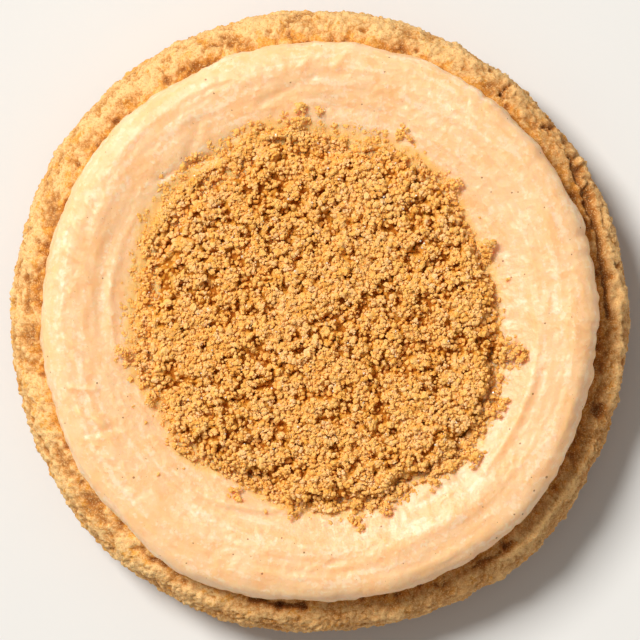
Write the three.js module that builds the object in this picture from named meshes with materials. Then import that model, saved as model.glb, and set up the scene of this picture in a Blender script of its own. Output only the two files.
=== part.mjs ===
// A round frosted cheesecake cookie: a thick baked base, a spread layer of cream cheese
// frosting with a raised ring around a shallow dish, and a heap of biscuit crumbs in the dish.
// Millimetres, +Z up. It stands on z = 0, with the origin under the middle of its outline.

import * as THREE from "three";

// Driving dimensions
const cookieDiameter = 110;
const cookieHeight = 16.5; // to the flat top that carries the frosting
const frostingDiameter = 98;
const frostingHeight = 8; // from the cookie's top to the ring's crest
const dishDepth = 3; // of the dish inside the ring
const heapDiameter = 66;
const heapHeight = 4.6; // crumbs above the dish floor, at the middle

// Baked base
const footRadius = 50.5; // of the flat underside
const footRounding = 4.2; // height of the rounded bottom edge
const topFlatRadius = 47;
const bellyHeight = 8; // where the wall is widest
const wallLean = 0.3; // how far the wall draws in from its widest to the foot's rounding
const shoulderFullness = 2.3; // 2 is an ellipse, more is squarer
const wallLump = 0.22; // depth of the wall's unevenness

// Frosting
const frostingFootRadius = 46.4;
const frostingWidestHeight = 3.1; // above the cookie's top
const crestRadius = 43.6;
const dishFloorRadius = 36;
const edgeFullness = 2.2; // of the rolled edge, as for the shoulder
const ringWave = 0.35; // how much the crest rises and falls

// Crumb heap
const heapEdgeThickness = 1.9;
const heapEdgeRun = 2.4; // how far the steep edge reaches in
const heapFullness = 2.2; // 1 is a cone, more is a flatter top
const heapLump = 0.45; // depth of the top's unevenness

// Segments round the turned solids, and steps along the curves of their profiles
const cookieSegments = 96;
const frostingSegments = 96;
const heapSegments = 72;
const undersideSteps = 4;
const roundSteps = 8;
const dishSteps = 6;
const middleRing = 0.5; // a flat disc's inner ring of points, as a share of its radius

// How far each outline stands out from a true circle, read every 15 degrees
// counter-clockwise from +X.
const cookieUnevenness = [
  -0.2, -0.3, -0.5, -0.4, -0.4, 0.1, 0.2, 0.1, 0.4, 0.4, 0.1, -0.5,
  -0.4, -0.5, -0.4, 0.2, 0.1, 0.3, -0.3, -0.3, 0.1, 0.7, -0.2, -0.3,
];
const frostingUnevenness = [
  -0.2, -0.1, 0, 0, 0.2, 0, 0, -0.2, -0.4, 0, -0.1, -0.6,
  -0.6, -0.7, 0, 0, 1.0, 0.3, -0.4, 0, 0, 0.7, 0.2, -0.6,
];
const heapUnevenness = [
  -1.5, -1.3, -2.0, -0.1, 0.3, -0.6, -0.1, 1.7, 0.3, 0.8, 0.8, -0.6,
  -0.8, 0.1, -1.1, 0.4, -1.8, -0.6, 0.4, 1.0, 0.1, 2.2, 1.3, 0.1,
];

// Ridges that the spatula left round the frosting. Angles in degrees, counter-clockwise
// from +X; the radius runs evenly from the first to the last value along the arc.
const spatulaRidges = [
  { from: -46, to: 42, radii: [39.4, 37.6], width: 1.5, height: 0.45 },
  { from: 10, to: 84, radii: [41.2, 40.2], width: 1.9, height: 0.35 },
  { from: 84, to: 158, radii: [44.4, 41.8], width: 2.4, height: 0.4 },
  { from: 146, to: 205, radii: [39.2, 36.8], width: 1.3, height: 0.4 },
  { from: 218, to: 272, radii: [38.6, 36.4], width: 1.5, height: 0.4 },
  { from: 262, to: 330, radii: [42.6, 40.2], width: 2.1, height: 0.45 },
];

// A smooth step from 0 at the first edge to 1 at the second.
function ease(first, second, value) {
  return THREE.MathUtils.smoothstep(value, first, second);
}

// Makes a function of angle from values read at even steps round a circle.
function roundCircle(readings) {
  const points = readings.map((value, i) => new THREE.Vector3(i, value, 0));
  const count = points.length;
  return (angle) => {
    const place = (((angle / (2 * Math.PI)) % 1) + 1) % 1 * count;
    const i = Math.floor(place) % count;
    const [before, start, end, after] = [-1, 0, 1, 2].map((k) => points[(i + k + count) % count].y);
    const t = place - Math.floor(place);
    const rise = (end - before) / 2;
    const fall = (after - start) / 2;
    return (
      start * (1 + 2 * t) * (1 - t) ** 2 +
      rise * t * (1 - t) ** 2 +
      end * t * t * (3 - 2 * t) +
      fall * t * t * (t - 1)
    );
  };
}

// Turns a profile of Vector2(radius, height) round the z axis, then moves each point with
// reshape({ angle, radius, height }), which changes radius and height in place.
function turnedSolid(profile, segments, reshape) {
  const geometry = new THREE.LatheGeometry(profile, segments);
  geometry.rotateX(Math.PI / 2);
  const positions = geometry.attributes.position;
  for (let i = 0; i < positions.count; i++) {
    const x = positions.getX(i);
    const y = positions.getY(i);
    const point = {
      angle: Math.atan2(y, x),
      radius: Math.hypot(x, y),
      height: positions.getZ(i),
    };
    reshape(point);
    positions.setXYZ(
      i,
      point.radius * Math.cos(point.angle),
      point.radius * Math.sin(point.angle),
      point.height,
    );
  }
  geometry.computeVertexNormals();
  return geometry;
}

// The points of a quarter of a superellipse, from its side to its top.
function quarterRound(centre, across, up, fullness, steps) {
  const points = [];
  for (let i = 0; i <= steps; i++) {
    const turn = (i / steps) * (Math.PI / 2);
    points.push(
      new THREE.Vector2(
        centre.x + across * Math.cos(turn) ** (2 / fullness),
        centre.y + up * Math.sin(turn) ** (2 / fullness),
      ),
    );
  }
  return points;
}

// The baked base: a flat foot, a rounded bottom edge, a wall that bellies out and a soft
// shoulder up to the flat top.
function cookieGeometry() {
  const outer = cookieDiameter / 2;
  const outline = roundCircle(cookieUnevenness);
  const foot = quarterRound(
    new THREE.Vector2(footRadius, footRounding),
    outer - wallLean - footRadius,
    -footRounding,
    2,
    undersideSteps,
  ).reverse();
  const shoulder = quarterRound(
    new THREE.Vector2(topFlatRadius, bellyHeight),
    outer - topFlatRadius,
    cookieHeight - bellyHeight,
    shoulderFullness,
    roundSteps,
  );
  const profile = [
    new THREE.Vector2(0, 0),
    new THREE.Vector2(footRadius * middleRing, 0),
    ...foot,
    ...shoulder,
    new THREE.Vector2(topFlatRadius * middleRing, cookieHeight),
    new THREE.Vector2(0, cookieHeight),
  ];
  return turnedSolid(profile, cookieSegments, (point) => {
    const { angle, radius, height } = point;
    const outward = ease(topFlatRadius, outer, radius);
    const onWall = ease(0, footRounding, height) * ease(cookieHeight, bellyHeight, height);
    const lumps = Math.sin(23 * angle + 0.55 * height) + 0.7 * Math.sin(37 * angle - 0.8 * height);
    point.radius += outward * (outline(angle) + onWall * wallLump * lumps);
  });
}

// How far the spatula ridges raise the frosting at a point of its top.
function ridgeRise(angle, radius) {
  const degrees = THREE.MathUtils.radToDeg(angle);
  let rise = 0;
  for (const { from, to, radii, width, height } of spatulaRidges) {
    const along = ((((degrees - from) % 360) + 360) % 360) / (to - from);
    if (along < 1) {
      const middle = THREE.MathUtils.lerp(radii[0], radii[1], along);
      const taper = Math.sin(Math.PI * along);
      rise += height * taper * Math.exp(-(((radius - middle) / width) ** 2));
    }
  }
  return rise;
}

// The frosting: flat where it lies on the cookie, a rolled edge that overhangs a little, a
// crest that rises and falls, and a dish with a flat floor.
function frostingGeometry() {
  const outer = frostingDiameter / 2;
  const outline = roundCircle(frostingUnevenness);
  const widest = cookieHeight + frostingWidestHeight;
  const crest = cookieHeight + frostingHeight;
  const floor = crest - dishDepth;
  const underside = quarterRound(
    new THREE.Vector2(frostingFootRadius, widest),
    outer - frostingFootRadius,
    -frostingWidestHeight,
    2,
    undersideSteps,
  ).reverse();
  const edge = quarterRound(
    new THREE.Vector2(crestRadius, widest),
    outer - crestRadius,
    crest - widest,
    edgeFullness,
    roundSteps,
  ).slice(1);
  const dishSide = [];
  for (let i = 1; i <= dishSteps; i++) {
    const radius = THREE.MathUtils.lerp(crestRadius, dishFloorRadius, i / dishSteps);
    const height = floor + dishDepth * ease(dishFloorRadius, crestRadius, radius);
    dishSide.push(new THREE.Vector2(radius, height));
  }
  const profile = [
    new THREE.Vector2(0, cookieHeight),
    ...underside,
    ...edge,
    ...dishSide,
    new THREE.Vector2(dishFloorRadius * middleRing, floor),
    new THREE.Vector2(0, floor),
  ];
  return turnedSolid(profile, frostingSegments, (point) => {
    const { angle, radius, height } = point;
    const onRing = ease(dishFloorRadius, crestRadius, radius) * ease(widest, crest, height);
    const offFloor = ease(dishFloorRadius, dishFloorRadius + 1.5, radius);
    const onTop = offFloor * ease(widest, floor, height);
    const outward = ease(crestRadius, outer, radius) * ease(cookieHeight, widest, height);
    const wave = 0.6 * Math.sin(3 * angle + 0.8) + 0.4 * Math.sin(7 * angle + 2.1);
    point.height += onRing * ringWave * wave + onTop * ridgeRise(angle, radius);
    point.radius += outward * outline(angle);
  });
}

// The heap of crumbs: a low mound with a steep uneven edge, lying flat on the dish floor.
function heapGeometry() {
  const outer = heapDiameter / 2;
  const outline = roundCircle(heapUnevenness);
  const floor = cookieHeight + frostingHeight - dishDepth;
  const edgeTop = floor + heapEdgeThickness;
  const profile = [
    new THREE.Vector2(0, floor),
    new THREE.Vector2(outer * middleRing, floor),
    new THREE.Vector2(outer, floor),
    new THREE.Vector2(outer - heapEdgeRun / 3, floor + heapEdgeThickness / 2),
  ];
  for (let i = 0; i <= roundSteps; i++) {
    const outwardShare = 1 - i / roundSteps;
    const dome = (heapHeight - heapEdgeThickness) * (1 - outwardShare ** heapFullness);
    profile.push(new THREE.Vector2((outer - heapEdgeRun) * outwardShare, edgeTop + dome));
  }
  return turnedSolid(profile, heapSegments, (point) => {
    const { angle, radius, height } = point;
    const x = radius * Math.cos(angle);
    const y = radius * Math.sin(angle);
    const lumps =
      Math.sin(0.42 * x + 0.2 * y + 1.3) * Math.cos(0.47 * y - 0.15 * x) +
      0.7 * Math.sin(0.61 * x - 0.5 * y + 2) * Math.cos(0.35 * x + 0.66 * y);
    point.height += ease(floor, edgeTop, height) * heapLump * lumps;
    point.radius *= 1 + outline(angle) / outer;
  });
}

function foodMaterial(colour, roughness) {
  return new THREE.MeshStandardMaterial({ color: colour, roughness, metalness: 0 });
}

function piece(name, geometry, material) {
  const mesh = new THREE.Mesh(geometry, material);
  mesh.name = name;
  return mesh;
}

const cookie = new THREE.Group();
cookie.add(
  piece("cookie_base", cookieGeometry(), foodMaterial(0xd9a05a, 0.85)),
  piece("frosting", frostingGeometry(), foodMaterial(0xf7d0a0, 0.5)),
  piece("crumb_heap", heapGeometry(), foodMaterial(0xd08c3c, 0.9)),
);

// The outline's box is centred on the origin.
const box = new THREE.Box3().setFromObject(cookie);
const middle = box.getCenter(new THREE.Vector3());
cookie.position.set(-middle.x, -middle.y, 0);

export default cookie;
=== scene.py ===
# A frosted cheesecake cookie with a heap of biscuit crumbs.
# Lengths are in millimetres everywhere, until a mesh, lamp or camera is made.

import itertools
import math

import bmesh
import bpy
import numpy as np
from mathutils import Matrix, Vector


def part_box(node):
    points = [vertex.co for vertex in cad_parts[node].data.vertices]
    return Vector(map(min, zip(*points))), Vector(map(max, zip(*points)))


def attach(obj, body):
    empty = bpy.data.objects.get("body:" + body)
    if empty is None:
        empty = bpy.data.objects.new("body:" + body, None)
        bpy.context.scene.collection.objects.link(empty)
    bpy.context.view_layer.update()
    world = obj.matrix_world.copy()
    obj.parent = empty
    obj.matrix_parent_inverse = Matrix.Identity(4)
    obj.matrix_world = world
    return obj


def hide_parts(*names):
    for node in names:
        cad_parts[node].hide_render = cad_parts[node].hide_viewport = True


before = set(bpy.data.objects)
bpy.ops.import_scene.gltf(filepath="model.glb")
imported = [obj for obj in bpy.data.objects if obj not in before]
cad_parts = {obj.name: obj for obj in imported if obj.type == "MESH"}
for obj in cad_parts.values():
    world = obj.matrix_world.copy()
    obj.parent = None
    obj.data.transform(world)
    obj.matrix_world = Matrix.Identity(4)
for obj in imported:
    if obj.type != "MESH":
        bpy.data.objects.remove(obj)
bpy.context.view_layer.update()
print("frame loaded:", ", ".join(sorted(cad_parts)))

mm = 0.001
fullTurn = 2 * math.pi
dice = np.random.default_rng(41)

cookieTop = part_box("cookie_base")[1].z / mm
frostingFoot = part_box("frosting")[0].z / mm
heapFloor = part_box("crumb_heap")[0].z / mm

noise = {
    "lattice": 256,  # random slopes, a power of two
    "seedShift": 17.31,  # cells between one seed and the next
    "gain": 1.7,  # brings the lumps out to about -1 and 1
    "pebbleSeedShift": 9.7,
    "pebbleJitter": 0.42,  # how far a pebble is off the middle of its cell
    "creaseSlope": 1.7,
    "pebbleFullness": 0.6,
}
shuffle = dice.permutation(noise["lattice"])
slopes = dice.normal(size=(noise["lattice"], 3))
slopes /= np.linalg.norm(slopes, axis=1)[:, None]


def hashed(cell):  # the same random number each time for each cell
    wrap = noise["lattice"] - 1
    across = shuffle[cell[:, 0] & wrap]
    along = shuffle[(across + cell[:, 1]) & wrap]
    return shuffle[(along + cell[:, 2]) & wrap]


def lumps(points, size, seed=0):  # smooth noise from about -1 to 1, one lump to each size
    place = points.reshape(-1, 3) / size + seed * noise["seedShift"]
    cell = np.floor(place).astype(int)
    part = place - cell
    ease = part**3 * (part * (part * 6 - 15) + 10)
    total = np.zeros(len(place))
    for corner in itertools.product((0, 1), repeat=3):
        slope = slopes[hashed(cell + corner)]
        weight = np.prod(np.where(corner, ease, 1 - ease), axis=1)
        total += weight * ((part - corner) * slope).sum(1)
    return (total * noise["gain"]).reshape(points.shape[:-1])


def roughness(points, size, octaves, seed=0):  # lumps on lumps, each half as large
    total = 0
    for i in range(octaves):
        total = total + lumps(points, size / 2**i, seed + i) / 2**i
    return total


def pebbles(points, size, seed=0):  # 0 in the creases between grains, towards 1 on them
    place = points.reshape(-1, 3) / size + seed * noise["pebbleSeedShift"]
    cell = np.floor(place).astype(int)
    nearest = np.full(len(place), 9.0)
    second = np.full(len(place), 9.0)
    for shift in itertools.product((-1, 0, 1), repeat=3):
        other = cell + shift
        middle = other + 0.5 + noise["pebbleJitter"] * slopes[hashed(other)]
        away = np.linalg.norm(place - middle, axis=1)
        second = np.minimum(second, np.maximum(nearest, away))
        nearest = np.minimum(nearest, away)
    high = np.clip((second - nearest) * noise["creaseSlope"], 0, 1)
    return high.reshape(points.shape[:-1]) ** noise["pebbleFullness"]


def step(low, high, value):  # a soft step from 0 at low to 1 at high
    part = np.clip((value - low) / (high - low), 0, 1)
    return part * part * (3 - 2 * part)


def together(*parts):  # points from their coordinates, each an array or one number
    return np.stack(np.broadcast_arrays(*parts), -1)


def polar(x, y):
    return np.arctan2(y, x) % fullTurn, np.hypot(x, y)


def placed(angle, radius, height):  # polar's reverse, as points
    return together(radius * np.cos(angle), radius * np.sin(angle), height)


def spot(degrees, radius):  # x and y of a single place
    return radius * math.cos(math.radians(degrees)), radius * math.sin(math.radians(degrees))


def facing(angle, degrees):  # 1 towards a side, -1 on the other side
    return np.cos(angle - math.radians(degrees))


def outlineOf(node, columns):  # how far a CAD node reaches, as a smooth function of angle
    corners = np.array([v.co[:2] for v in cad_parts[node].data.vertices]) / mm
    angle, radius = polar(corners[:, 0], corners[:, 1])
    column = np.round(angle / fullTurn * columns).astype(int) % columns
    reach = np.zeros(columns)
    np.maximum.at(reach, column, radius)
    waves = np.fft.rfft(reach) / columns

    def at(angle):
        total = np.full(np.shape(angle), waves[0].real)
        for k, wave in enumerate(waves[1:-1], 1):
            total += 2 * (wave * np.exp(1j * k * angle)).real
        return total

    return at


# with how many points each CAD outline has
cookieReach = outlineOf("cookie_base", 96)
frostingReach = outlineOf("frosting", 96)
heapReach = outlineOf("crumb_heap", 72)


def offLine(x, y, start, end):  # distance from a straight line between two complex numbers
    way = end - start
    along = np.clip(((x - start.real) * way.real + (y - start.imag) * way.imag) / abs(way) ** 2, 0, 1)
    return np.hypot(x - start.real - along * way.real, y - start.imag - along * way.imag)


def addLines(total, x, y, lines):  # crooked lines: width, height, then angles and radii
    for width, high, corners in lines:
        spots = [complex(*spot(degrees, radius)) for degrees, radius in corners]
        away = np.full(total.shape, np.inf)
        for start, end in zip(spots, spots[1:]):
            away = np.minimum(away, offLine(x, y, start, end))
        total += high * np.exp(-((away / width) ** 2))
    return total


def makePiece(name, points, faces, finish, values, uv, smooth=True):
    mesh = bpy.data.meshes.new(name)
    mesh.from_pydata((points * mm).tolist(), [], faces)
    mesh.validate()
    mesh.polygons.foreach_set("use_smooth", np.full(len(mesh.polygons), smooth))
    for key, numbers in values.items():
        layer = mesh.attributes.new(key, "FLOAT", "POINT")
        layer.data.foreach_set("value", np.asarray(numbers, np.float32).ravel())
    mesh.uv_layers.new(name="OFBake").data.foreach_set("uv", np.asarray(uv, np.float32).ravel())
    mesh.materials.append(finish.material)
    mesh.update()
    piece = bpy.data.objects.new(name, mesh)
    bpy.context.scene.collection.objects.link(piece)
    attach(piece, "root")
    triangles = sum(len(f) - 2 for f in faces)
    print(f"{name}: {len(points)} points, {triangles} triangles")
    return piece


def outwardNormals(grid):  # of rings of points, one row to each ring
    up = np.gradient(grid, axis=0)
    around = np.roll(grid, -1, axis=1) - np.roll(grid, 1, axis=1)
    normal = np.cross(around, up)
    return normal / np.maximum(np.linalg.norm(normal, axis=2), 1e-9)[:, :, None]


def ringFaces(rows, columns):  # quads between the rings, and a lid on the first and last
    row = np.arange(rows - 1)[:, None] * columns
    here = np.arange(columns)
    after = (here + 1) % columns
    quads = together(row + here, row + after, row + columns + after, row + columns + here)
    faces = quads.reshape(-1, 4).tolist()
    faces.append(list(range(columns - 1, -1, -1)))
    faces.append([(rows - 1) * columns + i for i in range(columns)])
    return faces


def ringUv(rows, columns, strips=3, lid=0.06, margin=0.01):
    # the band of rings is cut into strips, one above the other, with the two lids beside them
    wide = 1 - 2 * lid
    column = np.arange(columns)
    strip = column * strips // columns
    start = column / columns * strips - strip
    high = margin + (1 - 2 * margin) * np.arange(rows)[:, None] / (rows - 1)
    left = start * wide
    right = (start + strips / columns) * wide
    low = (strip + high[:-1]) / strips
    top = (strip + high[1:]) / strips
    quads = together(left, low, right, low, right, top, left, top).reshape(-1, 2)
    angle = column / columns * fullTurn
    disc = together(np.cos(angle), np.sin(angle)) * lid * 0.9
    lids = [disc[::-1] + (1 - lid, lid), disc + (1 - lid, 3 * lid)]
    return np.concatenate([quads, *lids])


def ringPiece(name, grid, finish, values):
    rows, columns = grid.shape[:2]
    points = grid.reshape(-1, 3)
    return makePiece(name, points, ringFaces(rows, columns), finish, values, ringUv(rows, columns))


def alongProfile(corners, spacing):  # even steps along a line of (radius, height)
    corners = np.array(corners, float)
    run = np.concatenate([[0], np.cumsum(np.linalg.norm(np.diff(corners, axis=0), axis=1))])
    at = np.linspace(0, run[-1], max(2, round(run[-1] / spacing) + 1))
    return together(np.interp(at, run, corners[:, 0]), np.interp(at, run, corners[:, 1]))


def quarterRound(side, top, fullness=2, steps=40):  # from its side to its top or foot
    corners = []
    for turn in np.linspace(0, math.pi / 2, steps):
        outward = (side[0] - top[0]) * math.cos(turn) ** (2 / fullness)
        upward = (top[1] - side[1]) * math.sin(turn) ** (2 / fullness)
        corners.append((top[0] + outward, side[1] + upward))
    return corners


class Wire:  # a shader value that can be used in sums
    def __init__(self, tree, socket):
        self.tree = tree
        self.socket = socket

    def maths(self, operation, first, second):
        node = self.tree.nodes.new("ShaderNodeMath")
        node.operation = operation
        plug(self.tree, first, node.inputs[0])
        plug(self.tree, second, node.inputs[1])
        return Wire(self.tree, node.outputs[0])

    def __add__(self, other):
        return self.maths("ADD", self, other)

    def __sub__(self, other):
        return self.maths("SUBTRACT", self, other)

    def __rsub__(self, other):
        return self.maths("SUBTRACT", other, self)

    def __mul__(self, other):
        return self.maths("MULTIPLY", self, other)

    __radd__ = __add__
    __rmul__ = __mul__


def plug(tree, value, socket):
    if isinstance(value, Wire):
        tree.links.new(value.socket, socket)
    else:
        socket.default_value = value


class Network:  # the nodes of a material or a world, and the shader that they feed
    def __init__(self, holder, shader):
        holder.use_nodes = True
        self.tree = holder.node_tree
        self.shader = self.tree.nodes[shader]

    def set(self, **wires):
        for socket, wire in wires.items():
            plug(self.tree, wire, self.shader.inputs[socket.replace("_", " ")])

    def node(self, kind, settings=None, sockets=None, out=0):
        node = self.tree.nodes.new(kind)
        for key, value in (settings or {}).items():
            if key == "stops":
                ramp = node.color_ramp.elements
                while len(ramp) < len(value):
                    ramp.new(0.5)
                for element, (position, colour) in zip(ramp, value):
                    element.position = position
                    element.color = (*colour, 1)
            else:
                setattr(node, key, value)
        for key, value in (sockets or {}).items():
            plug(self.tree, value, node.inputs[key])
        return Wire(self.tree, node.outputs[out])


class Finish(Network):  # a material, with its place in millimetres
    def __init__(self, name, **constants):
        self.material = bpy.data.materials.new(name)
        super().__init__(self.material, "Principled BSDF")
        self.set(**constants)
        sockets = {0: self.node("ShaderNodeTexCoord", out="Object"), "Scale": 1 / mm}
        self.place = self.node("ShaderNodeVectorMath", {"operation": "SCALE"}, sockets)

    def noise(self, size, detail=2, rough=0.5, bent=0.0):
        sockets = {"Vector": self.place, "Scale": 1 / size, "Detail": detail}
        sockets |= {"Roughness": rough, "Distortion": bent}
        return self.node("ShaderNodeTexNoise", {}, sockets)

    def value(self, name):
        return self.node("ShaderNodeAttribute", {"attribute_name": name}, out="Fac")

    def rise(self, value, low, high):  # a soft step from 0 at low to 1 at high
        sockets = {"Value": value, "From Min": low, "From Max": high}
        return self.node("ShaderNodeMapRange", {"interpolation_type": "SMOOTHSTEP"}, sockets)

    def blend(self, amount, first, second):
        first, second = (c if isinstance(c, Wire) else (*c, 1) for c in (first, second))
        return self.node("ShaderNodeMix", {"data_type": "RGBA"}, {0: amount, 6: first, 7: second}, out=2)

    def paint(self, colour, coats):  # one coat over another, each an amount and a colour
        for amount, coat in coats:
            colour = self.blend(amount, colour, coat)
        return colour

    def bump(self, height, strength, distance):
        sockets = {"Height": height, "Strength": strength, "Distance": distance * mm}
        return self.node("ShaderNodeBump", {}, sockets)


cookie = {
    "columns": 960,
    "spacing": 0.36,
    "underRings": (6, 14, 22, 30, 37, 43, 47, 49.2),  # radii
    "footRadius": 50.5,
    "footRounding": 4.2,
    "wallLean": 0.3,
    "outerRadius": 55.0,
    "bellyHeight": 8.0,
    "topFlatRadius": 48.4,
    "shoulderFullness": 2.9,
    "reliefFrom": 45.5,  # nearer the middle the frosting hides it
    "lidRadius": 44.0,
    "broadLumps": (0.42, 10),  # height and size, as in the next three
    "doughLumps": (0.42, 4.2),
    "pebbles": (0.32, 2.4),
    "grains": (0.56, 1.15),
    "cracks": (0.9, 9),  # depth, and how far apart
    "wobble": (0.5, 1.7),  # how far the grooves and marks are bent, over what length
    "underHollows": (0.25, 3),
    "footToast": 0.75,
    # painted shade in the pressed marks and pits
    "pitShade": 0.35,
    "sideShadeAndToast": (0.28, -24),  # painted shade, partly uneven baking: how much, and towards how many degrees
    "pits": 520,
    "pitSize": (0.3, 0.85),
    "pitDepth": (0.25, 0.75),
    "pitBand": 7.5,  # how far in from the outer radius they begin
    "pitsDown": 0.62,  # of the way from the top to the foot
    "markColumns": 26,  # how far a mark is felt, to each side
    "gold": (0.87, 0.41, 0.075),
    "pale": (0.95, 0.61, 0.26),
    "caramel": (0.58, 0.205, 0.02),
    "brown": (0.26, 0.075, 0.01),
    # splits in the rim, or ridges where the depth is negative:
    # width, depth, then the angles in degrees and the radii that they run through
    "grooves": [
        (0.55, 1.25, [(33.6, 55.2), (32, 52.6), (28, 51.8), (22, 51.5), (17, 51.3), (9, 50.7), (1, 50.6)]),
        (0.32, 0.60, [(30.6, 53.6), (28.6, 52.7), (27.4, 53.6), (29.2, 54.2)]),
        (0.30, 0.45, [(24, 53.4), (20, 52.9), (15, 53.3), (10, 52.9)]),
        (0.28, 0.80, [(51.4, 50.8), (51.2, 52.0), (51.4, 53.4)]),
        (0.28, 0.70, [(40.8, 52.0), (40.0, 53.0), (39.8, 53.8)]),
        (0.45, 1.00, [(256, 50.4), (262, 50.9), (267, 50.5)]),
        (0.45, 0.90, [(231, 51.2), (235, 51.4), (238, 51.0)]),
        (0.40, 0.80, [(300, 51.0), (306, 51.9), (311, 51.6)]),
        (0.80, -0.80, [(34, 54.0), (25, 53.5), (15, 53.3), (5, 53.2), (-8, 53.3), (-16, 53.6)]),
        (0.70, -0.55, [(62, 53.0), (52, 53.3), (44, 53.6), (37, 53.8)]),
        (0.70, -0.50, [(-24, 53.2), (-33, 53.0), (-45, 53.2), (-52, 53.0)]),
        (0.22, 0.45, [(110.5, 51.6), (112.3, 52.0), (113.4, 51.5)]),
        (0.22, 0.45, [(96, 51.9), (98, 52.6), (100, 52.5)]),
        (0.25, 0.50, [(131, 51.2), (133, 52.2), (134, 51.6)]),
    ],
    # single marks on the crust: angle in degrees, radius, height, size, and depth (a bump if negative)
    "marks": [
        (169, 55.2, 9.5, 0.9, -0.9), (177, 53.6, 13, 1.0, 0.7),
        (205.6, 51.0, 15.4, 0.8, 0.9), (-18, 51.4, 15.2, 1.5, 1.9),
        (-23, 51.6, 15.2, 0.7, 1.0), (51.3, 51.0, 15.6, 0.5, 1.0),
        (51.3, 52.2, 14.9, 0.5, 1.0), (51.2, 53.3, 13.8, 0.5, 0.8),
        (40.6, 52.4, 14.7, 0.6, 1.0), (39.9, 53.4, 13.8, 0.5, 0.8),
        (30, 52.8, 14.5, 1.2, 0.8), (25, 52.4, 14.7, 1.3, 0.9),
        (262, 50.6, 15.9, 0.9, 1.2), (243, 51.6, 15.5, 0.8, 1.0),
    ],
}


def cookieFinish():
    c = cookie
    finish = Finish(
        "bakedCookie",
        Subsurface_Weight=0.12,
        Subsurface_Radius=(1.0, 0.45, 0.2),
        Subsurface_Scale=1.2 * mm,
        Specular_IOR_Level=0.3,
    )
    relief = finish.value("relief")
    toast = finish.value("toast")
    patches = finish.noise(2.4, 4, 0.6)
    spots = finish.noise(1.1, 3, 0.55, 0.4)
    grains = finish.noise(0.3, 3, 0.62)
    light = finish.rise(patches * 0.6 + spots * 0.4 + finish.value("outer") * 0.12, 0.5, 0.6)
    coats = [
        (light, c["pale"]),
        (finish.rise(spots, 0.55, 0.64) * (0.8 - light * 0.4), c["caramel"]),
        (finish.rise(relief, 0.0, -0.4) * 0.65, c["caramel"]),  # painted shade in the hollows
        # browned foot, and painted shade in the pits and on the side away from the key light
        (finish.rise(toast, 0.0, 0.5) * 0.7, c["caramel"]),
        (finish.rise(relief, -0.25, -0.85) * 0.8, c["brown"]),  # painted shade in the deepest cracks
        (toast * 0.8, c["brown"]),
        (finish.rise(relief, 0.1, 0.5) * 0.55, c["pale"]),  # painted highlight on what stands proud
        # fine grain: random tone, and partly painted shade between the grains and painted highlight on
        # them
        (finish.rise(grains, 0.47, 0.35) * 0.65, c["caramel"]),
        (finish.rise(grains, 0.53, 0.64) * 0.65, c["pale"]),
    ]
    finish.set(
        Base_Color=finish.paint(c["gold"], coats),
        Roughness=0.6 + grains * 0.35,
        Normal=finish.bump(grains + spots, 1.0, 0.25),
    )
    return finish


def cookieProfile():  # radius and height, from under the cookie round to its top
    c = cookie
    low = (c["outerRadius"] - c["wallLean"], c["footRounding"])
    belly = (c["outerRadius"], c["bellyHeight"])
    foot = quarterRound(low, (c["footRadius"], 0))
    shoulder = quarterRound(belly, (c["topFlatRadius"], cookieTop), c["shoulderFullness"])
    underside = [(radius, 0) for radius in c["underRings"]]
    seen = alongProfile([*foot[::-1], *shoulder, (c["lidRadius"], cookieTop)], c["spacing"])
    return np.concatenate([underside, seen])


def crustRise(grid):  # how far the crust stands out from the plain shape, and how deep the marks are
    c = cookie
    height = grid[:, :, 2]
    depth, apart = c["cracks"]
    crack = 1 - np.abs(roughness(grid * (1, 1, 1.9), apart, 3, 5)) * 8
    crack = np.clip(crack, 0, 1) * step(-0.1, 0.3, lumps(grid, 14, 8))
    crack *= 0.45 + 0.55 * step(cookieTop - 2, cookieTop - 6, height)
    broad, dough, pebble, grain = c["broadLumps"], c["doughLumps"], c["pebbles"], c["grains"]
    rise = broad[0] * lumps(grid, broad[1], 1)
    rise += dough[0] * roughness(grid, dough[1], 4, 2)
    rise += pebble[0] * (pebbles(grid, pebble[1], 3) - 0.6)
    rise += grain[0] * (pebbles(grid + 0.35 * lumps(grid, 1.3, 7)[:, :, None], grain[1], 4) - 0.6)
    rise -= depth * crack
    far, length = c["wobble"]
    bent = grid + far * together(*(lumps(grid, length, seed) for seed in (41, 42, 43)))
    grooves = addLines(0 * height, bent[:, :, 0], bent[:, :, 1], c["grooves"])
    rise -= grooves * step(cookieTop * 0.55, cookieTop * 0.8, height)
    before = rise.copy()
    pressMarks(bent, rise)
    return rise, np.clip(before - rise, 0, 1)


def pressMarks(grid, rise):  # the single marks, and pits at random
    c = cookie
    marks = list(c["marks"])
    for _ in range(c["pits"]):
        turn = dice.uniform(0, math.pi * c["pitsDown"])
        degrees = dice.uniform(0, 360)
        radius = c["outerRadius"] - c["pitBand"] + c["pitBand"] * math.sin(turn) ** 0.8
        height = cookieTop / 2 + cookieTop / 2 * math.cos(turn)
        marks.append((degrees, radius, height, dice.uniform(*c["pitSize"]), dice.uniform(*c["pitDepth"])))
    columns = grid.shape[1]
    window = np.arange(-c["markColumns"], c["markColumns"] + 1)
    for degrees, radius, height, size, depth in marks:
        near = (round((degrees % 360) / 360 * columns) + window) % columns
        away = np.linalg.norm(grid[:, near] - (*spot(degrees, radius), height), axis=2)
        rise[:, near] -= depth * np.exp(-((away / size) ** 4))


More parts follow.
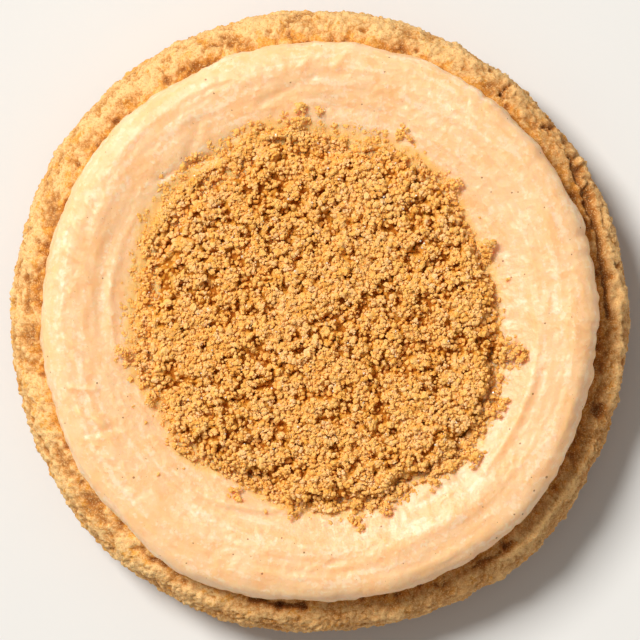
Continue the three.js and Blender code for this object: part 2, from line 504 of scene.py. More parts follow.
def cookiePiece():
    c = cookie
    profile = cookieProfile()
    angle = np.linspace(0, fullTurn, c["columns"], endpoint=False)
    radius = profile[:, :1]
    off = cookieReach(angle) - c["outerRadius"]
    radius = radius + step(c["topFlatRadius"], c["outerRadius"], radius) * off[None, :]
    height = profile[:, 1:].repeat(c["columns"], 1)
    grid = placed(angle, radius, height)

    on = step(c["reliefFrom"], c["reliefFrom"] + 2, radius) + (height < cookieTop / 2)
    on = np.clip(on, 0, 1) * step(0.0, 1.5, height)
    rise, marked = crustRise(grid)
    relief = on * rise
    grid = grid + outwardNormals(grid) * relief[:, :, None]
    deep, size = c["underHollows"]
    under = step(0.6, 0, height) * deep * np.abs(roughness(grid, size, 3, 6))
    grid[:, :, 2] = np.maximum(grid[:, :, 2], 0) + under * step(50, 47, radius)

    # browner towards the foot, and painted shade in the pressed marks and pits
    toast = c["footToast"] * step(5.5, 0.5, height + lumps(grid, 4, 9)) + c["pitShade"] * marked
    patchy = 0.3 * lumps(grid, 5, 44) + 0.35 * lumps(grid, 1.8, 47)
    # painted shade on the side away from the key light, partly uneven baking
    amount, side = c["sideShadeAndToast"]
    toast += amount * step(-0.5, 0.75, facing(angle, side) + patchy)
    outer = step(48.5, 52.0, radius) * step(cookieTop - 8, cookieTop - 4, height)
    values = {"relief": relief, "toast": np.clip(toast, 0, 1), "outer": outer}
    piece = ringPiece("baked_cookie", grid, cookieFinish(), values)
    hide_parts("cookie_base")


frosting = {
    "columns": 760,
    "spacing": 0.4,
    "footRadius": 46.4,
    "outerRadius": 49.0,
    "widestHeight": 3.1,
    "ringRadius": 43,  # where lengths along the ring are measured
    "crestRadius": 43.4,
    "crestHeight": 8.0,
    "edgeFullness": 3.0,
    "floorRadius": 28.0,
    "lidRadius": 25.6,
    "dishTilt": (0.4, 135),  # how much, and towards how many degrees
    "ringWave": 0.35,
    "undulation": 0.26,
    "dragLines": 0.14,
    "dragSize": (1.1, 13),  # width and length
    "fineLines": 0.45,  # of the drag lines
    "fineSize": (0.5, 6),
    "tears": 0.16,
    "tearSize": (1.6, 5),
    "smallLumps": 0.1,
    "scallops": (0.42, 4.2),  # of the edge: depth and length
    "scallopedSide": 10,  # degrees
    "sag": (0.9, 11),
    "spread": (1.2, 9),  # of the foot
    "stainGlowSide": 128,  # degrees
    "stainGlowReach": (1.8, 2.6),  # past the crumbs, and how much more on that side
    "cream": (0.95, 0.60, 0.33),
    "creamDeep": (0.93, 0.525, 0.235),
    "creamPale": (0.99, 0.78, 0.57),
    "butterAndGlow": (0.97, 0.54, 0.16),  # where the crumbs have stained it, with painted warm glow from the crumbs
    "speck": (0.33, 0.13, 0.04),
    "specks": [(0.85, 0.13, 0.45), (2.1, 0.135, 0.85)],  # how far apart, size and strength
    # spatula strokes: angle and radius where each starts and ends, width, rise (a groove if negative)
    "strokes": [
        (-44, 38.7, 18, 37.4, 1.1, 0.38), (-14, 44.6, 10, 44.2, 0.9, 0.30),
        (-30, 42.0, 12, 41.0, 1.3, -0.28), (14, 40.6, 84, 40.6, 1.4, -0.26),
        (10, 43.4, 64, 43.0, 1.5, 0.22), (30, 46.2, 80, 45.6, 1.0, -0.18),
        (62, 36.6, 100, 38.2, 1.4, -0.22), (78, 45.6, 126, 43.0, 2.0, 0.30),
        (89, 42.9, 108, 38.4, 0.8, -0.34), (104, 46.6, 150, 45.4, 1.4, 0.22),
        (132, 46.0, 164, 40.6, 1.8, 0.20), (144, 39.6, 186, 38.6, 1.0, -0.34),
        (160, 37.4, 190, 36.0, 0.7, 0.36), (176, 45.6, 214, 45.2, 1.3, 0.20),
        (188, 40.0, 232, 40.4, 1.2, -0.20), (204, 43.2, 246, 42.2, 1.8, 0.24),
        (234, 37.9, 272, 33.0, 0.55, -0.62), (236, 36.6, 270, 31.9, 0.9, 0.30),
        (244, 40.6, 284, 39.4, 1.4, 0.28), (262, 44.4, 277, 41.6, 0.6, -0.25),
        (276, 41.6, 322, 40.8, 1.7, 0.42), (282, 45.2, 330, 44.6, 1.2, -0.2),
        (296, 37.0, 322, 36.2, 0.9, -0.26), (316, 38.8, 352, 38.4, 0.8, 0.42),
        (322, 46.6, 356, 46.0, 0.9, 0.22),
    ],
    # short creases and folds: width, rise, then the angle and radius of both ends
    "creases": [
        (0.75, -0.9, [(123.6, 34.3), (129.5, 35.3)]), (0.45, -0.55, [(128, 35.0), (138.6, 37.2)]),
        (0.80, -0.32, [(122.2, 39.7), (129.7, 36.4)]), (0.35, -0.50, [(118.4, 33.7), (118.9, 33.4)]),
        (0.55, 0.30, [(184, 44.6), (187, 41.4)]), (0.50, 0.26, [(189, 43.2), (193, 40.8)]),
        (0.55, 0.34, [(195, 45.0), (197, 41.0)]), (0.60, 0.36, [(201, 44.8), (205, 42.0)]),
        (0.50, -0.26, [(206, 45.4), (207.5, 40.8)]), (0.50, 0.24, [(210, 45.8), (214, 43.4)]),
        (0.60, 0.25, [(147, 46.0), (150, 43.4)]), (0.50, 0.28, [(153, 45.6), (155, 42.6)]),
        (0.55, 0.24, [(158, 47.0), (160.5, 43.8)]), (0.50, 0.30, [(164, 46.4), (166, 43.0)]),
        (0.60, 0.26, [(171, 46.8), (173.5, 43.6)]), (0.70, 0.30, [(84, 47.2), (86.5, 44.6)]),
        (0.60, 0.24, [(92, 46.6), (94, 44.4)]), (0.35, 0.30, [(267, 43.6), (272, 42.0)]),
        (0.80, 0.16, [(299, 40.4), (300.5, 35.4)]), (0.90, 0.20, [(305, 40.0), (308, 35.6)]),
        (0.60, -0.16, [(311, 40.8), (312, 35.6)]), (0.70, 0.14, [(317, 41.6), (318, 37.4)]),
        (0.60, -0.14, [(288, 40.2), (290, 36.2)]),
    ],
}


def strokeRise(angle, radius):
    degrees = np.degrees(angle)
    total = np.zeros(np.broadcast(angle, radius).shape)
    for startAngle, startRadius, endAngle, endRadius, width, rise in frosting["strokes"]:
        along = ((degrees - startAngle) % 360) / (endAngle - startAngle)
        middle = startRadius + (endRadius - startRadius) * along
        taper = np.where(along < 1, np.sin(math.pi * np.clip(along, 0, 1)) ** 0.7, 0)
        total += rise * taper * np.exp(-(((radius - middle) / width) ** 2))
    return addLines(total, radius * np.cos(angle), radius * np.sin(angle), frosting["creases"])


def drawnOut(angle, radius, width, length, layer):  # places for noise that runs along the ring
    return together(radius / width, angle * frosting["ringRadius"] / length, layer)


def roundEdge(angle, length, height, layer):  # places for noise that runs along the rolled edge
    return together(angle * frosting["outerRadius"] / length, height, layer)


def frostingRelief(angle, radius):  # what the spatula left, on top of the plain ring and dish
    f = frosting
    flat = placed(angle, radius, 3)
    patch = step(-0.35, 0.35, lumps(flat, 11, 19))  # dragged here, torn elsewhere
    broad = lumps(drawnOut(angle, radius, *f["dragSize"], 8), 1.0, 12)
    fine = lumps(drawnOut(angle, radius, *f["fineSize"], 2), 1.0, 13)
    tear = 1 - np.abs(roughness(drawnOut(angle, radius, *f["tearSize"], 0), 1.0, 2, 25)) * 5
    rise = f["undulation"] * lumps(flat, 9, 11)
    rise += f["dragLines"] * (0.4 + patch) * (broad + f["fineLines"] * fine)
    rise += f["smallLumps"] * roughness(flat, 1.9, 3, 14)
    rise += f["tears"] * np.clip(tear, 0, 1) * (1 - patch)
    return rise + strokeRise(angle, radius)


def ringWave(angle):  # how the ring rises and falls on its way round
    return 0.6 * np.sin(3 * angle + 0.8) + 0.4 * np.sin(7 * angle + 2.1)


def frostingTop(angle, radius):  # height of the frosting's upper face inside its crest
    f = frosting
    crest = frostingFoot + f["crestHeight"]
    ring = step(f["floorRadius"], f["crestRadius"], radius)
    tilt, side = f["dishTilt"]
    floor = heapFloor + tilt + tilt * facing(angle, side)
    top = floor + (crest - floor) * ring + f["ringWave"] * ringWave(angle) * ring
    return top + frostingRelief(angle, radius) * step(f["lidRadius"], f["lidRadius"] + 4, radius)


def frostingFinish():
    f = frosting
    finish = Finish(
        "creamCheeseFrosting",
        Subsurface_Weight=0.7,
        Subsurface_Radius=(1.0, 0.6, 0.35),
        Subsurface_Scale=2.6 * mm,
        Specular_IOR_Level=0.48,
    )
    mottle = finish.noise(4.5, 5, 0.62)
    fine = finish.noise(0.9, 4, 0.6)
    pores = finish.noise(0.38, 2, 0.5)
    folds = finish.noise(2.2, 4, 0.6, 0.6)
    smear = finish.value("smear")
    # butter stain round the crumbs, partly painted warm glow from them
    stain = finish.rise(finish.value("stain") + (folds - 0.5) * 1.2, 0.15, 0.85)
    coats = [
        (finish.rise(mottle + smear * 0.1, 0.42, 0.66) * 0.75, f["creamDeep"]),
        (finish.rise(folds, 0.56, 0.7) * 0.45, f["creamDeep"]),
        (finish.rise(fine - smear * 0.22, 0.53, 0.72) * 0.5, f["creamPale"]),
        (stain * 0.85, f["butterAndGlow"]),
    ]
    for apart, largest, strength in f["specks"]:
        sockets = {"Vector": finish.place, "Scale": 1 / apart, "Randomness": 1.0}
        away = finish.node("ShaderNodeTexVoronoi", {}, sockets, out="Distance")
        chance = finish.node("ShaderNodeTexVoronoi", {}, sockets, out="Color")
        shape = away + (pores - 0.5) * 0.1 - chance * largest
        coats.append((finish.rise(shape, 0.0, -0.03) * strength, f["speck"]))
    finish.set(
        Base_Color=finish.paint(f["cream"], coats),
        Roughness=0.25 + mottle * 0.32,
        Normal=finish.bump(fine + pores * 0.4 + folds * 0.8, 0.5, 0.25),
    )
    return finish


def frostingEdge(angle):  # the rolled edge, from under it up to the crest of the ring
    f = frosting
    widest = frostingFoot + f["widestHeight"]
    crest = frostingFoot + f["crestHeight"]
    side = (f["outerRadius"], widest)
    underside = quarterRound(side, (f["footRadius"], frostingFoot))
    shoulder = quarterRound(side, (f["crestRadius"], crest), f["edgeFullness"])
    profile = alongProfile([*underside[::-1], *shoulder], f["spacing"])
    radius = profile[:, :1].repeat(f["columns"], 1)
    height = profile[:, 1:].repeat(f["columns"], 1)

    outward = step(f["crestRadius"], f["outerRadius"], radius) * step(frostingFoot, widest, height)
    deep, length = f["scallops"]
    ripple = roundEdge(angle, length, 0, 5)
    side = 0.45 + 0.55 * facing(angle, f["scallopedSide"])
    scallop = deep * side * (np.abs(lumps(ripple, 1.0, 15)) * 2 - 0.5)
    scallop += 0.15 * lumps(ripple / 3, 1.0, 16) + 0.12 * np.abs(lumps(ripple * 2.6, 1.0, 27))
    radius = radius + outward * (frostingReach(angle) - f["outerRadius"] + scallop)
    far, length = f["spread"]
    spread = roughness(roundEdge(angle, length, 0, 7), 1.0, 3, 29)
    radius = radius + far * spread * step(widest, frostingFoot, height)
    lift = step(widest, crest, height)
    height = height + lift * f["ringWave"] * ringWave(angle)
    far, length = f["sag"]
    sag = lumps(roundEdge(angle, length, 0, 6), 1.0, 26)
    height += far * sag * np.sin(math.pi * step(frostingFoot, crest, height))
    grid = placed(angle, radius, height)

    wall = (1 - lift) * step(frostingFoot, frostingFoot + 1.2, height)
    amount = frostingRelief(angle, radius) * lift
    waves = lumps(roundEdge(angle, 8, height / 2.4, 4), 1.0, 17)
    lines = lumps(roundEdge(angle, 9, height / 0.7, 9), 1.0, 20)
    tucks = lumps(roundEdge(angle, 2.6, height / 5, 12), 1.0, 28)
    amount += wall * (0.45 * waves + 0.26 * lines)
    amount += wall * (0.14 * roughness(grid, 1.9, 3, 18) + 0.2 * tucks)
    return grid + outwardNormals(grid) * amount[:, :, None]


def frostingPiece():
    f = frosting
    angle = np.linspace(0, fullTurn, f["columns"], endpoint=False)
    inside = np.arange(f["crestRadius"] - f["spacing"], f["lidRadius"], -f["spacing"])
    radius = inside[:, None].repeat(f["columns"], 1)
    dish = placed(angle, radius, frostingTop(angle, radius))
    grid = np.concatenate([frostingEdge(angle), dish])

    angle, radius = polar(grid[:, :, 0], grid[:, :, 1])
    # how far the stain and painted glow reach past the crumbs
    least, more = f["stainGlowReach"]
    reach = least + more * np.clip(facing(angle, f["stainGlowSide"]), 0, 1)
    bent = radius + 0.6 * lumps(grid, 6, 45)
    smear = roughness(drawnOut(angle, bent, 1.3, 9, grid[:, :, 2] / 1.5), 1.0, 2, 46)
    values = {"stain": step(reach, -0.5, radius - heapReach(angle)), "smear": smear}
    piece = ringPiece("cream_frosting", grid, frostingFinish(), values)
    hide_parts("frosting")


crumbs = {
    "height": 4.6,  # of the plateau above the dish
    "doming": 0.8,
    "plateauEdge": 0.6,
    "skirtHeight": 1.3,  # of the low crumbs round the plateau
    "skirtWidth": (2.6, 2.2),  # on average, and how much it changes
    "edgeRun": 1.4,
    "sunkSide": 128,  # degrees, where the skirt is wider
    "sunkWidth": 2.4,
    "valley": (1.0, 0.6, 0.6),  # round the plateau: how far out, width and depth
    "mound": (2.7, -2.6, 2.0, 0.7),  # near the middle: x, y, radius and rise
    "clumpSize": 2.8,  # between the cracks
    "clumpRise": 0.6,
    "crackWidth": 0.5,
    "layer": 0.55,  # how far the core is under the top crumbs
    "gapDepth": 1.25,  # and how much farther in the gaps
    "granuleSpacing": 0.72,
    "granuleRadius": (0.3, 0.55),
    "coreSide": 205,  # points along each side of the core's grid
    "coreSink": 0.8,  # of its rim into the frosting
    "widest": 39,  # radius that holds all but the stray crumbs
    "mapStep": 0.14,
    "mapHalf": 41.0,
    "frostingRolls": 46,  # radius beyond which the frosting's top turns down
    "spacing": 0.98,  # between crumbs, each made of several grains
    "seat": (-0.27, 0.06),  # how far a crumb's middle is above the top
    "scale": (0.75, 1.2),
    "toneChange": 0.075,
    "underSpacing": 0.9,
    "underSeat": (0.1, 0.5),  # above the core
    "underScale": (0.9, 1.4),
    # painted shade: the lower layer of crumbs a little darker
    "underShade": -0.04,
    "strays": 180,
    "strayScale": (0.35, 0.8),
    "clumpScale": (0.7, 1.05),
    "sunkScale": (0.7, 1.2),
    "edgeTone": -0.06,
    "dark": (0.42, 0.11, 0.002),
    "toasted": (0.80, 0.35, 0.035),
    "golden": (0.93, 0.52, 0.14),
    "paleCrumb": (0.95, 0.60, 0.29),
    "sugar": (0.90, 0.66, 0.36),
    "paleSugar": (0.97, 0.88, 0.74),
    # grains that make up the crumbs: how many to a crumb, their least and greatest size,
    # how far from its middle, how dented, and how finely divided
    "grains": {
        "coarse_grains": (0.13, 0.75, 1.05, 0.1, 0.3, 2),
        "medium_grains": (1.3, 0.52, 0.86, 0.3, 0.28, 1),
        "small_grains": (2.3, 0.36, 0.6, 0.46, 0.3, 1),
        "fine_grains": (2.2, 0.18, 0.34, 0.55, 0.3, 0),
        "sugar_crystals": (0.1, 0.2, 0.32, 0.6, 0.12, 0),
    },
    # clumps that lie out from the heap's edge: angle, radius, spread, how many crumbs
    "edgeClumps": [
        (95, 37.6, 0.9, 9), (97, 35.2, 1.5, 16), (90, 36.4, 0.7, 5), (66, 35.8, 1.1, 12),
        (109, 34.9, 1.2, 9), (189, 34.8, 1.2, 12), (222, 33.8, 1.0, 7), (281, 36.8, 0.7, 6),
        (280, 34.8, 1.0, 9), (290, 34.9, 1.1, 8), (319, 35.8, 1.7, 20), (334, 34.4, 1.4, 12),
        (352, 33.2, 1.9, 20), (351, 35.2, 1.7, 24), (23, 32.2, 2.0, 26), (45, 33.8, 1.2, 9),
        (205, 33.0, 1.2, 8), (245, 33.0, 1.3, 9), (262, 33.4, 1.2, 9), (305, 34.6, 1.2, 12),
    ],
    # crumbs half sunk in the frosting: first and last angle, first and last radius, how many
    "sunkCrumbs": [
        (106, 152, 32.4, 36.6, 260),
        (60, 106, 32.6, 35.0, 60),
        (152, 200, 32.6, 35.0, 60),
        (280, 352, 32.8, 35.4, 110),
    ],
    # one long crooked flake near the middle: places in x and y
    "flake": [
        (-6.9, -6.0), (-6.2, -6.7), (-5.2, -7.0), (-4.2, -6.9),
        (-3.2, -6.5), (-2.3, -5.8), (-1.5, -4.9), (-0.7, -3.9),
    ],
    "flakeCrumbs": 13,
}


def jittered(spacing):  # points spread evenly but not in lines, as far as the crumbs reach
    reach = crumbs["widest"]
    x, y = np.meshgrid(np.arange(-reach, reach, spacing), np.arange(-reach, reach, spacing * 0.87))
    x[1::2] += spacing / 2
    spots = together(x.ravel(), y.ravel())
    spots += dice.uniform(-0.42, 0.42, spots.shape) * spacing
    return spots[np.hypot(*spots.T) < reach]


def heapTop(x, y, ground):  # a plateau with a low skirt of crumbs round it
    c = crumbs
    angle, radius = polar(x, y)
    flat = together(x, y, 0)
    reach = heapReach(angle)
    width, change = c["skirtWidth"]
    sunk = np.clip(facing(angle, c["sunkSide"]), 0, 1) ** 2
    inner = reach - width - change * lumps(flat, 7, 22) - c["sunkWidth"] * sunk
    plateau = step(inner + c["plateauEdge"], inner - c["plateauEdge"], radius)
    inside = np.clip((reach - radius) / c["edgeRun"], 0, 1)
    skirt = ground + c["skirtHeight"] * np.sqrt(1 - (1 - inside) ** 2)
    high = heapFloor + c["height"] - c["doming"] * (radius / 30) ** 2
    uneven = 0.45 * lumps(flat, 6, 36) + 0.4 * lumps(flat, 2.6, 37)
    top = skirt + plateau * np.maximum(high - skirt, 0)
    out, wide, deep = c["valley"]
    valley = np.exp(-(((radius - inner - out) / wide) ** 2)) * step(-0.4, 0.1, lumps(flat, 3.5, 38))
    return top + uneven * step(0, 3, reach - radius) - deep * valley, valley


class CrumbBed:  # a height map of the heap, which its core and every crumb stand on
    def __init__(self):
        c = crumbs
        self.step = c["mapStep"]
        self.half = c["mapHalf"]
        line = np.arange(-self.half, self.half + self.step / 2, self.step)
        x, y = np.meshgrid(line, line, indexing="ij")
        angle, radius = polar(x, y)
        self.frosting = frostingTop(angle, np.minimum(radius, c["frostingRolls"]))
        self.top, valley = heapTop(x, y, self.frosting)
        self.edgeMounds()
        flat = together(x, y, 0)
        bend = together(lumps(flat, 2.3, 31), lumps(flat, 2.3, 32), 0)
        clump = pebbles(flat + 1.1 * bend, c["clumpSize"], 33)
        self.top += c["clumpRise"] * (clump - 0.7)
        crack = step(c["crackWidth"], c["crackWidth"] - 0.15, clump)
        crack *= step(-0.3, 0.1, lumps(flat, 4.5, 34))  # only here and there
        hole = step(0.38, 0.52, lumps(flat, 2.1, 35))
        self.gap = np.maximum(np.maximum(crack, hole), valley * 0.8)
        floor = self.top - c["layer"] - c["gapDepth"] * self.gap
        self.core = np.maximum(floor, self.frosting - 0.25)
        self.granules()
        print("crumb bed mapped")

    def window(self, middle, size):  # the map's lines near a place, and how far off each is
        low = max(0, math.ceil((middle - size + self.half) / self.step))
        high = min(len(self.top), int((middle + size + self.half) / self.step) + 1)
        return slice(low, high), np.arange(low, high) * self.step - self.half - middle

    def cap(self, layer, x, y, size, top, drop):  # raises a map to a round cap
        rows, dx = self.window(x, size)
        columns, dy = self.window(y, size)
        away = np.hypot(dx[:, None], dy)
        cap = top - drop * (1 - np.sqrt(np.clip(1 - (away / size) ** 2, 0, 1)))
        now = layer[rows, columns]
        layer[rows, columns] = np.where(away < 0.93 * size, np.maximum(now, cap), now)

    def at(self, layer, x, y):  # a map's value between its points
        last = len(layer) - 1.001
        u, v = (np.clip((np.asarray(w) + self.half) / self.step, 0, last) for w in (x, y))
        i, j = u.astype(int), v.astype(int)
        s, t = u - i, v - j
        low = layer[i, j] * (1 - t) + layer[i, j + 1] * t
        high = layer[i + 1, j] * (1 - t) + layer[i + 1, j + 1] * t
        return low * (1 - s) + high * s

    def edgeMounds(self):
        for degrees, radius, spread, _ in crumbs["edgeClumps"]:
            x, y = spot(degrees, radius)
            ground = float(self.at(self.frosting, x, y))
            for _ in range(5):
                shift = dice.normal(0, 0.5 * spread, 2)
                size = dice.uniform(0.6, 1.0) * spread
                height = ground + dice.uniform(0.9, 1.6) * size
                self.cap(self.top, x + shift[0], y + shift[1], size, height, 1.3 * size)
        x, y, size, rise = crumbs["mound"]
        self.cap(self.top, x, y, size, heapFloor + crumbs["height"] + rise, size)

    def granules(self):
        for x, y in jittered(crumbs["granuleSpacing"]):
            ground = float(self.at(self.core, x, y))
            if ground > float(self.at(self.frosting, x, y)) + 0.05:
                size = dice.uniform(*crumbs["granuleRadius"])
                self.cap(self.core, x, y, size, ground + dice.uniform(0.1, 0.6) * size, 1.1 * size)

    def tone(self, x, y):  # some patches paler and some more toasted
        flat = together(x, y, 0)
        return 0.6 + 0.07 * lumps(flat, 3.2, 23) + 0.02 * lumps(flat, 9, 24)


def crumbFinish(name, cloudSize, bumps):
    c = crumbs
    finish = Finish(
        name,
        Subsurface_Weight=0.3,
        Subsurface_Radius=(1.0, 0.9, 0.8),
        Subsurface_Scale=0.2 * mm,
        Specular_IOR_Level=0.22,
    )
    cloud = finish.noise(cloudSize, 3, 0.6)
    dust = finish.noise(0.24, 3, 0.6)
    tone = finish.value("tone") + (cloud - 0.5) * 0.5 + (dust - 0.5) * 0.24
    stops = [(0.0, c["dark"]), (0.28, c["toasted"]), (0.55, c["golden"]), (0.85, c["paleCrumb"])]
    finish.set(
        Base_Color=finish.node("ShaderNodeValToRGB", {"stops": stops}, {"Fac": tone}),
        Roughness=0.5 + dust * 0.4,
        Normal=finish.bump(dust, 1.0, bumps),
    )
    return finish


def sugarFinish():
    finish = Finish(
        "sugarCrystals",
        Subsurface_Weight=0.5,
        Subsurface_Radius=(1.0, 0.8, 0.6),
        Subsurface_Scale=0.4 * mm,
        Specular_IOR_Level=0.6,
    )
    dust = finish.noise(0.3)
    pale = finish.rise(finish.value("tone") + dust * 0.3, 0.45, 0.85)
    finish.set(
        Base_Color=finish.blend(pale, crumbs["sugar"], crumbs["paleSugar"]),
        Roughness=0.18 + dust * 0.3,
    )
    return finish


def corePiece(bed, finish):
    # a square grid pulled round, so that the points lie evenly over the heap
    side = crumbs["coreSide"]
    line = np.linspace(-1, 1, side)
    u, v = np.meshgrid(line, line, indexing="ij")
    wide = np.abs(u) > np.abs(v)
    far = np.where(wide, u, v)
    near = np.where(wide, v, u)
    turn = np.divide(near, far, out=np.zeros_like(near), where=far != 0) * math.pi / 4
    angle = np.where(wide, turn, math.pi / 2 - turn) + np.where(far < 0, math.pi, 0)
    share = np.abs(far)
    reach = heapReach(angle % fullTurn) + 0.6
    x, y = share * reach * np.cos(angle), share * reach * np.sin(angle)
    rim = step(0.985, 1.0, share)
    foot = bed.at(bed.frosting, x, y) - crumbs["coreSink"]
    z = bed.at(bed.core, x, y) * (1 - rim) + foot * rim
    tone = bed.tone(x, y) - 0.12 - 0.42 * bed.at(bed.gap, x, y)  # painted shade: darker under the top crumbs, and more so in the gaps

    number = np.arange(side * side).reshape(side, side)
    quads = together(number[:-1, :-1], number[1:, :-1], number[1:, 1:], number[:-1, 1:])
    border = [*number[:-1, 0], *number[-1, :-1], *number[:0:-1, -1], *number[0, :0:-1]]
    faces = quads.reshape(-1, 4).tolist()
    faces.append([int(i) for i in border[::-1]])
    square = together(u, v).reshape(-1, 2) * 0.465 + 0.47
    uv = np.concatenate([square[quads.reshape(-1)], square[border[::-1]] * 0.05 + 0.945])
    piece = makePiece("crumb_core", together(x, y, z).reshape(-1, 3), faces, finish, {"tone": tone}, uv)
    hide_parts("crumb_heap")


def grainTemplate(detail):  # a ball, or a small cube where it has no detail
    made = bmesh.new()
    if detail:
        bmesh.ops.create_icosphere(made, subdivisions=detail, radius=0.5)
    else:
        bmesh.ops.create_cube(made, size=0.8)
        bmesh.ops.triangulate(made, faces=made.faces)
    points = np.array([v.co for v in made.verts])
    faces = np.array([[v.index for v in f.verts] for f in made.faces])
    made.free()
    return points, faces


def randomTurns(count):  # rotation matrices from random quaternions
    w, x, y, z = np.moveaxis(dice.normal(size=(count, 4)), 1, 0)
    size = np.sqrt(w * w + x * x + y * y + z * z)
    w, x, y, z = w / size, x / size, y / size, z / size
    rows = [
        [1 - 2 * (y * y + z * z), 2 * (x * y - z * w), 2 * (x * z + y * w)],
        [2 * (x * y + z * w), 1 - 2 * (x * x + z * z), 2 * (y * z - x * w)],
        [2 * (x * z - y * w), 2 * (y * z + x * w), 1 - 2 * (x * x + y * y)],
    ]
    return np.moveaxis(np.array(rows), 2, 0)


def tileUv(triangles):  # every triangle gets half of a small square of its own
    across = math.ceil(math.sqrt(triangles / 2))
    number = np.arange(triangles)
    square = number // 2
    corner = together(square % across, square // across)[:, None, :]
    first = np.array([(0.08, 0.08), (0.84, 0.08), (0.08, 0.84)])
    second = np.array([(0.92, 0.92), (0.16, 0.92), (0.92, 0.16)])
    inside = np.where((number % 2 == 0)[:, None, None], first, second)
    return (corner + inside) / across


def scatter(name, template, centres, sizes, tones, finish, dents):
    points, faces = template
    count = len(centres)
    stretch = dice.uniform(0.6, 1.35, (count, 1, 3))
    dented = 1 + dents * dice.uniform(-1, 1, (count, len(points), 1))
    shaped = points[None] * stretch * dented * sizes[:, None, None]
    turned = np.einsum("nij,nkj->nki", randomTurns(count), shaped) + centres[:, None, :]
    allFaces = (faces[None] + np.arange(count)[:, None, None] * len(points)).reshape(-1, 3)
    tone = np.repeat(tones, len(points)) + dice.uniform(-0.04, 0.04, count * len(points))
    values = {"tone": tone}
    uv = tileUv(len(allFaces))
    piece = makePiece(name, turned.reshape(-1, 3), allFaces.tolist(), finish, values, uv, smooth=False)


def placeCrumbs(bed):  # returns the middle, scale and tone of each, and which are single grains
    c = crumbs
    groups = []

    def place(x, y, rise, scale, tone, single=False):
        z = bed.at(bed.top, x, y) + rise
        groups.append(together(x, y, z, scale, bed.tone(x, y) + tone, single))

    def inHeap(spacing, *margin):
        x, y = jittered(spacing).T
        angle, radius = polar(x, y)
        inside = radius < heapReach(angle) - dice.uniform(*margin, len(x))
        return x[inside], y[inside]

    x, y = inHeap(c["spacing"], -0.4, 0.8)
    closed = bed.at(bed.gap, x, y) < dice.uniform(0.3, 0.9, len(x))
    x, y = x[closed], y[closed]
    count = len(x)
    seat, scale = dice.uniform(*c["seat"], count), dice.uniform(*c["scale"], count)
    place(x, y, seat, scale, dice.normal(0, c["toneChange"], count))

    x, y = inHeap(c["underSpacing"], 0.2, 1.0)
    under = dice.uniform(*c["underSeat"], len(x)) - bed.at(bed.top, x, y) + bed.at(bed.core, x, y)
    place(x, y, under, dice.uniform(*c["underScale"], len(x)), c["underShade"], single=True)

    count = c["strays"]
    angle = dice.uniform(0, fullTurn, count)
    radius = heapReach(angle) + dice.exponential(0.9, count) - 0.4
    scale = dice.uniform(*c["strayScale"], count)
    place(radius * np.cos(angle), radius * np.sin(angle), 0.2, scale, c["edgeTone"])
    for degrees, radius, spread, count in c["edgeClumps"]:
        middle = spot(degrees, radius)
        x, y = (v + dice.normal(0, 0.55 * spread, count) for v in middle)
        place(x, y, dice.uniform(-0.2, 0.2, count), dice.uniform(*c["clumpScale"], count), c["edgeTone"])
    for start, end, inner, outer, count in c["sunkCrumbs"]:
        angle = np.radians(dice.uniform(start, end, count))
        radius = inner + (outer - inner) * dice.uniform(0, 1, count) ** 1.6
        seat, scale = dice.uniform(-0.15, 0.2, count), dice.uniform(*c["sunkScale"], count)
        place(radius * np.cos(angle), radius * np.sin(angle), seat, scale, c["edgeTone"])

    x, y = np.array(c["flake"]).T
    number = np.arange(len(x))
    along = np.linspace(0, number[-1], c["flakeCrumbs"])
    arch = np.sin(math.pi * along / along[-1])
    x, y = np.interp(along, number, x), np.interp(along, number, y)
    place(x, y, 0.3 + 0.4 * arch, 1.1 + 0.25 * arch, 0.05)
    table = np.concatenate(groups)
    print(len(table), "crumbs placed")
    return table[:, :3], table[:, 3], table[:, 4], table[:, 5] == 1


def crumbPieces():
    bed = CrumbBed()
    corePiece(bed, crumbFinish("biscuitCrumbBed", 0.9, 0.3))
    middles, scales, tones, single = placeCrumbs(bed)
    grainFinish = crumbFinish("biscuitCrumbs", 1.4, 0.04)
    for name, (share, least, most, off, dents, detail) in crumbs["grains"].items():
        count = (share + dice.random(len(middles))).astype(int)
        count = np.where(single, name == "medium_grains", count)
        owner = np.repeat(np.arange(len(middles)), count)
        away = dice.normal(size=(len(owner), 3))
        away *= off / np.linalg.norm(away, axis=1)[:, None]
        away[:, 2] = 0.42 * np.abs(away[:, 2]) - 0.06  # the crumbs are broad and low
        centres = middles[owner] + away * scales[owner, None]
        sizes = dice.uniform(least, most, len(owner)) * scales[owner]
        low = centres[:, 2] - bed.at(bed.top, centres[:, 0], centres[:, 1])
        # painted shade on grains that lie low, and painted highlight on those that stand high
        grainTones = tones[owner] + 0.05 * np.clip(low, -0.9, 0.5) + dice.normal(0, 0.05, len(owner))
        finish = sugarFinish() if name == "sugar_crystals" else grainFinish
        scatter(name, grainTemplate(detail), centres, sizes, grainTones, finish, dents)


studio = {
    "floorSide": 4000,
    "floorColour": (0.75, 0.75, 0.74),
    "wallColour": (1.0, 0.95, 0.88),
    "wallStrength": 0.72,
    "ceilingStrength": 0.27,
    "ceilingFrom": 0.45,  # height on a sphere of radius 1
    "keyAngle": 137,  # degrees round from +X, where the key light stands
    "keyHeight": 55,  # degrees above the table
    "keyDistance": 4000,
    "keySize": 1500,
    "keyPower": 183.0,
    "keyColour": (1.0, 0.975, 0.935),
}
photo = {
    "side": 640,  # pixels
    "millimetresPerPixel": 0.1774,
    "objectCentre": (319.5, 320.5),  # pixels
    "cameraDistance": 950,
    "sensor": 36,
}


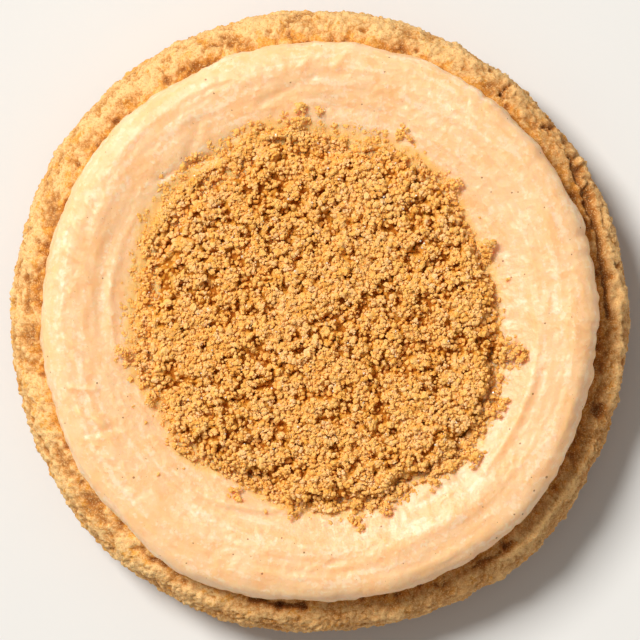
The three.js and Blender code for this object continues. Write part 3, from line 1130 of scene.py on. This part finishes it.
def addFloor():
    half = studio["floorSide"] / 2
    mesh = bpy.data.meshes.new("floor")
    corners = [(-half, -half, 0), (half, -half, 0), (half, half, 0), (-half, half, 0)]
    mesh.from_pydata([tuple(v * mm for v in c) for c in corners], [], [(0, 1, 2, 3)])
    finish = Finish("paleFloor", Specular_IOR_Level=0.2)
    grain = finish.noise(40, 3)
    darker = tuple(0.97 * v for v in studio["floorColour"])
    finish.set(Base_Color=finish.blend(grain, studio["floorColour"], darker), Roughness=0.7 + grain * 0.1)
    mesh.materials.append(finish.material)
    floor = bpy.data.objects.new("floor", mesh)
    bpy.context.scene.collection.objects.link(floor)


def addKeyLight():
    s = studio
    x, y = spot(s["keyAngle"], math.cos(math.radians(s["keyHeight"])))
    way = Vector((x, y, math.sin(math.radians(s["keyHeight"]))))
    lamp = bpy.data.lights.new("key", "AREA")
    lamp.shape = "DISK"
    lamp.size = s["keySize"] * mm
    lamp.energy = s["keyPower"]
    lamp.color = s["keyColour"]
    holder = bpy.data.objects.new("key", lamp)
    holder.location = way * s["keyDistance"] * mm
    holder.rotation_euler = way.to_track_quat("Z", "Y").to_euler()
    bpy.context.scene.collection.objects.link(holder)


def addWorld():  # pale walls all round, and a dimmer ceiling
    s = studio
    world = bpy.data.worlds.new("studio")
    room = Network(world, "Background")
    way = room.node("ShaderNodeTexCoord", out="Generated")
    height = room.node("ShaderNodeSeparateXYZ", {}, {0: way}, out="Z")
    sockets = {"Value": height, "From Max": s["ceilingFrom"]}
    sockets |= {"To Min": s["wallStrength"], "To Max": s["ceilingStrength"]}
    fade = room.node("ShaderNodeMapRange", {"interpolation_type": "SMOOTHSTEP"}, sockets)
    room.set(Color=(*s["wallColour"], 1), Strength=fade)
    bpy.context.scene.world = world


def addCamera():
    scale = photo["millimetresPerPixel"]
    right = (photo["side"] / 2 - photo["objectCentre"][0]) * scale
    up = (photo["objectCentre"][1] - photo["side"] / 2) * scale
    view = bpy.data.cameras.new("overhead")
    view.sensor_width = photo["sensor"]
    view.lens = photo["sensor"] * photo["cameraDistance"] / (photo["side"] * scale)
    holder = bpy.data.objects.new("overhead", view)
    holder.location = (right * mm, up * mm, (photo["cameraDistance"] + cookie["bellyHeight"]) * mm)
    bpy.context.scene.collection.objects.link(holder)
    bpy.context.scene.camera = holder


addCamera()
addFloor()
addWorld()
addKeyLight()
bpy.context.scene.view_settings.view_transform = "Standard"
print("studio set")

cookiePiece()
frostingPiece()
crumbPieces()
